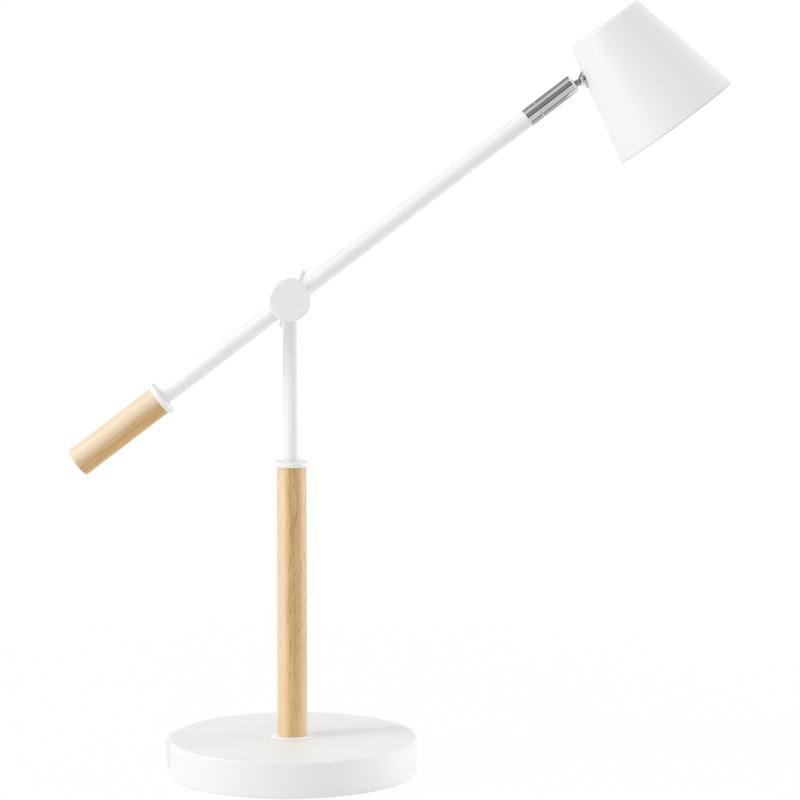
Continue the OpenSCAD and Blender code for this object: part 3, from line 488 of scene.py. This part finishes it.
class Growth(Net):
    """A geometry tree with named sizes, ending in one plain mesh."""

    def __init__(self, name, **sizes):
        super().__init__(bpy.data.node_groups.new(name, "GeometryNodeTree"))
        face = self.tree.interface
        face.new_socket("Geometry", in_out="INPUT", socket_type="NodeSocketGeometry")
        for size, kind in sizes.items():
            face.new_socket(size, in_out="INPUT", socket_type="NodeSocket" + kind)
        face.new_socket("Geometry", in_out="OUTPUT", socket_type="NodeSocketGeometry")
        self.inputs = self.add("NodeGroupInput", {})
        self.output = self.tree.nodes.new("NodeGroupOutput")

    def size(self, name):
        return self.inputs.part(name)

    def end(self, shape):
        real = self.add("GeometryNodeRealizeInstances", {}, shape)
        painted = self.add("GeometryNodeSetMaterial", {}, Geometry=real, Material=self.size("Finish"))
        self.put(self.output.inputs[0], painted)
        return self.tree


def ring_growth():
    """Copies of a shape around local Z, each turned to face outwards."""
    net = Growth("ring_of_copies", Count="Int", Radius="Float", First="Float", Finish="Material")
    turn = net.size("First") + net.add("GeometryNodeInputIndex", {}) * (2 * math.pi) / net.size("Count")
    radius = net.size("Radius")
    spot = net.add("ShaderNodeCombineXYZ", {}, radius * turn.cosine(), radius * turn.sine())
    points = net.add("GeometryNodePoints", {}, Count=net.size("Count"), Position=spot)
    facing = net.add("ShaderNodeCombineXYZ", {}, 0.0, 0.0, turn)
    copies = net.add("GeometryNodeInstanceOnPoints", {}, Points=points, Instance=net.inputs.part("Geometry"),
                     Rotation=facing)
    return net.end(copies)


def thread_growth():
    """A screw thread wound around local Z and joined to the shape that it starts from."""
    net = Growth("thread", Radius="Float", Depth="Float", Pitch="Float", Length="Float", Start="Float",
                 Finish="Material")
    depth = net.size("Depth")
    length = net.size("Length")
    radius = net.size("Radius") - depth
    path = net.add("GeometryNodeCurveSpiral", {}, Resolution=18, Rotations=length / net.size("Pitch"),
                   Start_Radius=radius, End_Radius=radius, Height=length)
    ridge = net.add("GeometryNodeCurvePrimitiveCircle", {}, Resolution=6, Radius=depth)
    coil = net.add("GeometryNodeCurveToMesh", {}, path, ridge, Fill_Caps=True)
    lifted = net.add("GeometryNodeTransform", {}, coil,
                     Translation=net.add("ShaderNodeCombineXYZ", {}, 0.0, 0.0, net.size("Start")))
    both = net.add("GeometryNodeJoinGeometry", {})
    for part in (lifted, net.inputs.part("Geometry")):
        net.tree.links.new(part.socket, both.socket.node.inputs[0])
    return net.end(both)


RING = ring_growth()
THREAD = thread_growth()


def threaded(core, radius, depth, pitch, start, length, finish):
    """A rod with a thread, its sizes in millimetres."""
    return evaluated(core, "NODES", THREAD, {
        "Radius": radius * MM, "Depth": depth * MM, "Pitch": pitch * MM, "Start": start * MM,
        "Length": length * MM, "Finish": finish,
    })


def ring_of(mesh, count, radius, first, finish):
    """Copies of a mesh around local Z, the radius in millimetres."""
    return evaluated(mesh, "NODES", RING, {
        "Count": count, "Radius": radius * MM, "First": first, "Finish": finish,
    })


def cross_recess(width, span, depth):
    """The cutter of a cross recess that opens at z = 0 and goes up."""
    a, b = width / 2, span / 2
    points = [(b, -a), (b, a), (a, a), (a, b), (-a, b), (-a, a),
              (-b, a), (-b, -a), (-a, -a), (-a, -b), (a, -b), (a, -a)]
    return prism(points, -1.0, depth)


def screw(outline, recess, **thread):
    """A screw along local Z, with its head's face at z = 0."""
    body = carved(turned(outline, Matrix(), 40), recess)
    return threaded(body, finish=steel, **thread)


# Pieces whose edges are rounded
for node, width in {
    "base_ring": 0.35, "pole": 0.35, "rear_hub": 0.3, "arm_hub": 0.3, "pivot_cap": 1.2, "counterweight": 0.3,
    "lock_nut": 0.5, "lock_bar": 0.3, "socket_base": 0.12, "stem_flange": 0.2, "touch_pad": 0.15,
    "diffuser": 0.9, "heat_sink": 0.25, "power_socket": 0.3, "floor_plate": 0.25, "shade": 0.5,
    "socket_sleeve": 0.12, "rod_nut": 0.4, "stem_nut": 0.25, "led_chips": 0.12,
}.items():
    softened(node, width)

# Cover, its top edge rounded more closely than on the solid. Above the side plate it stays as on the solid,
# and the change between the two is spread over an angle beside the plate, in degrees.
cover_r, cover_h, solid_edge, close_edge = 90.0, 26.5, 3.0, 1.7
plate_angle, fade_angle = 14.0, 46.0
slack = 0.01
cover = nodes["base_shell"].data.copy()
for vertex in cover.vertices:
    x, y, z = vertex.co / MM
    out = math.hypot(x, y)
    off = math.hypot(out - cover_r + solid_edge, z - cover_h + solid_edge) - solid_edge
    if abs(off) < 2 * slack and out > cover_r - solid_edge - slack and z > cover_h - solid_edge - slack:
        from_plate = math.degrees(math.acos(-x / out)) - plate_angle
        past_plate = min(max(from_plate / fade_angle, 0.0), 1.0)
        share = 1.0 + (close_edge / solid_edge - 1.0) * past_plate ** 2 * (3.0 - 2.0 * past_plate)
        reach = (cover_r + (out - cover_r) * share) / out
        vertex.co = Vector((x * reach, y * reach, cover_h + (z - cover_h) * share)) * MM
finished("base_shell_finished", eased(cover, 0.25), "base_shell")

# Painted shade in the sleeve's bore: every face that looks to the arm's axis from inside gets a near-black
# finish
sleeve = bpy.data.objects["socket_sleeve_finished"].data
sleeve.materials.append(bore_painted_shade)
to_arm = ARM.inverted()
for face in sleeve.polygons:
    spot = to_arm @ face.center
    way = to_arm.to_3x3() @ face.normal
    if way.y * spot.y + way.z * spot.z < -0.2 * MM and abs(way.x) < 0.9:
        face.material_index = 1

# Side plate with rounded ends, and the bore that the socket's nose stands in
plate_in, plate_out, plate_half, plate_round = -86.4, -90.4, 20.0, 2.6
plate_low, plate_high = 8.0, 25.0
port_z, nose_r = 16.6, 4.5
plate_outline = rounded([(plate_in, plate_half), (plate_out, plate_half, plate_round),
                         (plate_out, -plate_half, plate_round), (plate_in, -plate_half)], 8)
nose_bore = turned([(0, -1.0), (nose_r, -1.0), (nose_r, 8.0), (0, 8.0)], at(-92, 0, port_z) @ X_FROM_Z, 64)
plate = carved(prism(plate_outline, plate_low, plate_high), nose_bore)
finished("port_plate_finished", eased(plate, 0.5), "port_plate")

# Floor screws: countersunk, their faces level with the floor plate's underside
boss_ring_r, pad_t = 81.0, 1.5
floor_screw = screw(
    [(0, 0.0), (2.9, 0.0, 0.12), (1.3, 1.6), (1.3, 12.4), (0.5, 13.0), (0, 13.0)],
    cross_recess(width=0.75, span=3.4, depth=1.1), radius=1.5, depth=0.22, pitch=0.7, start=2.6, length=9.6,
)
floor_screws = ring_of(floor_screw, count=4, radius=boss_ring_r, first=math.radians(45), finish=steel)
floor_screws.transform(at(0, 0, pad_t))
finished("base_screws_finished", floor_screws, "base_screws")

# Heat sink screws: pan heads toward the open end
sink_ring_r, head_face = 12.0, 13.8
sink_screw = screw(
    [(0, 0.0), (3.0, 0.0, 0.5), (3.0, 2.0), (1.3, 2.0), (1.3, 12.4), (0.5, 12.9), (0, 12.9)],
    cross_recess(width=0.75, span=3.4, depth=1.1), radius=1.5, depth=0.22, pitch=0.7, start=2.4, length=10.0,
)
sink_screw.transform(Matrix.Rotation(math.pi, 4, "X"))
sink_screws = ring_of(sink_screw, count=3, radius=sink_ring_r, first=math.radians(90), finish=steel)
sink_screws.transform(SHADE @ at(0, 0, head_face))
finished("sink_screws_finished", sink_screws, "sink_screws")

# Set screw of the pole collar, seen from behind: a hexagon socket in its outer end
set_screw_end, groove_z, socket_r = 12.3, 225.0, 0.75
corners = [math.radians(60 * k) for k in range(6)]
hexagon = [(socket_r * math.cos(t), socket_r * math.sin(t)) for t in corners]
set_screw = carved(
    turned([(0, 0.0), (1.1, 0.0, 0.15), (1.1, 6.0), (0.91, 6.0), (0.91, 6.78, 0.3), (0, 6.78)], Matrix(), 36),
    prism(hexagon, -1.0, 1.5),
)
set_screw = threaded(set_screw, radius=1.3, depth=0.16, pitch=0.5, start=0.5, length=5.0, finish=steel)
set_screw.transform(at(0, set_screw_end, groove_z) @ Matrix.Rotation(math.pi / 2, 4, "X"))
finished("collar_screw_finished", set_screw, "collar_screw")

# Ball and threaded neck
ball_r, neck_r, bore_r, stem_end = 5.4, 2.25, 1.3, 19.3
back = math.asin(bore_r / ball_r)
front = math.asin(neck_r / ball_r)
ball_arc = [back + (math.pi - back - front) * k / 24 for k in range(25)]
stem_outline = [(ball_r * math.sin(t), -ball_r * math.cos(t)) for t in ball_arc]
stem_outline += [(neck_r, stem_end - 0.3), (neck_r - 0.3, stem_end), (bore_r, stem_end)]
stem = threaded(turned(stem_outline, Matrix(), 64), radius=2.4, depth=0.18, pitch=0.8, start=5.6,
                length=stem_end - 6.2, finish=neck_steel)
stem.transform(STEM @ X_FROM_Z)
finished("ball_stem_finished", stem, "ball_stem")

# Foot pad with fine concentric grooves underneath
pad_r = 77.0
pad_outline = [(0, pad_t), (pad_r, pad_t, 0.3), (pad_r, 0.0, 0.4)]
for groove in range(6):
    middle = 70.0 - 11.0 * groove
    pad_outline += [(middle + 0.9, 0.0), (middle + 0.4, 0.45), (middle - 0.4, 0.45), (middle - 0.9, 0.0)]
pad_outline += [(0, 0.0)]
finished("foot_pad_finished", turned(pad_outline, Matrix(), 128), "foot_pad")

# Light window with a low dome
light_x, light_y, light_r, board_top = 78.4, -1.3, 0.7, 18.5
finished("status_light_finished", turned(
    [(0, board_top), (light_r, board_top), (light_r, 26.35), (0.55, 26.45), (0.3, 26.52), (0, 26.55)],
    at(light_x, light_y, 0), 32,
), "status_light")

# Plated pin over the inlet's moulded core
pin_root, pin_r, pin_length = -79.5, 1.1, 5.75
finished("inlet_pin", turned(
    [(0, 0.0), (pin_r, 0.0), (pin_r, pin_length, 0.35), (0, pin_length)],
    at(pin_root, 0, port_z) @ about_y(-math.pi / 2), 32,
), "power_socket", hides=False, finish=steel)


# Studio

def daylight_share(net, plain, seen):
    """Light that differs for what the camera, metal and glass see, and for what lights the lamp."""
    rays = net.add("ShaderNodeLightPath", {})
    share = rays.part("Is Camera Ray") + rays.part("Is Glossy Ray") + rays.part("Is Transmission Ray")
    return plain + (seen - plain) * share.ramp(0.0, 1.0)


def card(name, corners, material, **visible):
    """A flat card with four corners, part of the studio."""
    mesh = bpy.data.meshes.new(name)
    mesh.from_pydata(corners, [], [(0, 1, 2, 3)])
    mesh.materials.append(material)
    obj = bpy.data.objects.new(name, mesh)
    scene.collection.objects.link(obj)
    for key, value in visible.items():
        setattr(obj, "visible_" + key, value)


class Sky(Finish):
    """The world's light, built in the same way as a finish."""

    def __init__(self, world):
        world.use_nodes = True
        Net.__init__(self, world.node_tree)
        self.tree.nodes.clear()
        self.shader = self.tree.nodes.new("ShaderNodeBackground")
        self.output = self.tree.nodes.new("ShaderNodeOutputWorld")
        self.tree.links.new(self.shader.outputs["Background"], self.output.inputs["Surface"])


scene.world = bpy.data.worlds.new("studio_world")
sky = Sky(scene.world)
sky.set(Color=(1.0, 1.0, 1.0), Strength=daylight_share(sky, 0.72, 1.0))

floor_finish = Finish("floor_paper")
floor_finish.set(Base_Color=(0.9, 0.9, 0.9), Roughness=0.9, Specular_IOR_Level=0.1)
glow = floor_finish.add("ShaderNodeEmission", {}, (1.0, 1.0, 1.0, 1.0), 1.0)
far = floor_finish.add("ShaderNodeVectorMath", {"operation": "LENGTH"}, floor_finish.place(), out="Value")
seen_white = 0.955 + 0.045 * far.ramp(0.3, 1.3)
paper = floor_finish.add("ShaderNodeMixShader", {}, daylight_share(floor_finish, 0.0, seen_white))
floor_finish.tree.links.new(floor_finish.shader.outputs["BSDF"], paper.socket.node.inputs[1])
floor_finish.tree.links.new(glow.socket, paper.socket.node.inputs[2])
floor_finish.tree.links.new(paper.socket, floor_finish.output.inputs["Surface"])
FLOOR = 6.0
card("floor", [(-FLOOR, -FLOOR, 0), (FLOOR, -FLOOR, 0), (FLOOR, FLOOR, 0), (-FLOOR, FLOOR, 0)],
     floor_finish.material)

# Grey cards that only reflections show, at angles around the arm above the camera's direction. They aren't
# sampled as lamps.
JOINT = ARM @ Vector((237.5 * MM, 0, 0))
TO_CAMERA = Vector((0.0, -1.0, 0.0))
UP_ACROSS = ARM.to_3x3() @ Vector((0.0, 0.0, 1.0))
ALONG = ARM.to_3x3() @ Vector((1.0, 0.0, 0.0))
CARD_REACH = 0.5
CARD_BACK = 0.35
CARD_FRONT = 0.22
CARD_BANDS = (  # from and to in degrees, and tone
    (-140, -83, 0.48), (-83, -58, 0.28), (-54, -4, 0.63), (-4, 16, 0.13),
    (16, 33, 0.30), (33, 50, 0.16), (50, 89, 0.63), (89, 165, 0.31),
)
for low, high, tone in CARD_BANDS:
    grey = Finish(f"card_{low}")
    grey.set(Base_Color=(0.0, 0.0, 0.0), Roughness=1.0, Specular_IOR_Level=0.0,
             Emission_Color=(tone, tone, tone), Emission_Strength=1.0)
    grey.material.cycles.emission_sampling = "NONE"
    turns = [math.radians(angle) for angle in (low, high)]
    first, last = [JOINT + CARD_REACH * (math.cos(t) * TO_CAMERA + math.sin(t) * UP_ACROSS) for t in turns]
    card(f"grey_card_{low}", [first - CARD_BACK * ALONG, first + CARD_FRONT * ALONG,
                              last + CARD_FRONT * ALONG, last - CARD_BACK * ALONG], grey.material,
         camera=False, diffuse=False, transmission=False, shadow=False, volume_scatter=False)


LIGHT_AIM = Vector((0.05, 0.0, 0.28))


def softbox(name, place, width, height, power):
    """A flat lamp that faces the middle of the part."""
    lamp = bpy.data.lights.new(name, "AREA")
    lamp.shape = "RECTANGLE"
    lamp.size = width
    lamp.size_y = height
    lamp.energy = power
    obj = bpy.data.objects.new(name, lamp)
    obj.location = place
    obj.rotation_euler = (LIGHT_AIM - Vector(place)).to_track_quat("-Z", "Y").to_euler()
    scene.collection.objects.link(obj)


softbox("key_softbox", (-2.03, -0.72, 1.0), 0.5, 1.9, 16.2)
softbox("high_softbox", (-1.6, -0.35, 1.95), 1.1, 1.2, 5.5)
softbox("low_softbox", (1.92, 0.55, 0.33), 1.3, 0.6, 14.5)
softbox("top_softbox", (-0.4, -0.7, 2.3), 1.4, 1.4, 5.0)

camera = bpy.data.cameras.new("photo_camera")
camera.lens = 128.9
camera.sensor_width = 36.0
camera_object = bpy.data.objects.new("photo_camera", camera)
camera_object.location = (0.078, -2.047, 0.4516)
camera_object.rotation_euler = (math.radians(90.0 - 5.04), 0.0, 0.0)
scene.collection.objects.link(camera_object)
scene.camera = camera_object
scene.view_settings.view_transform = "Standard"
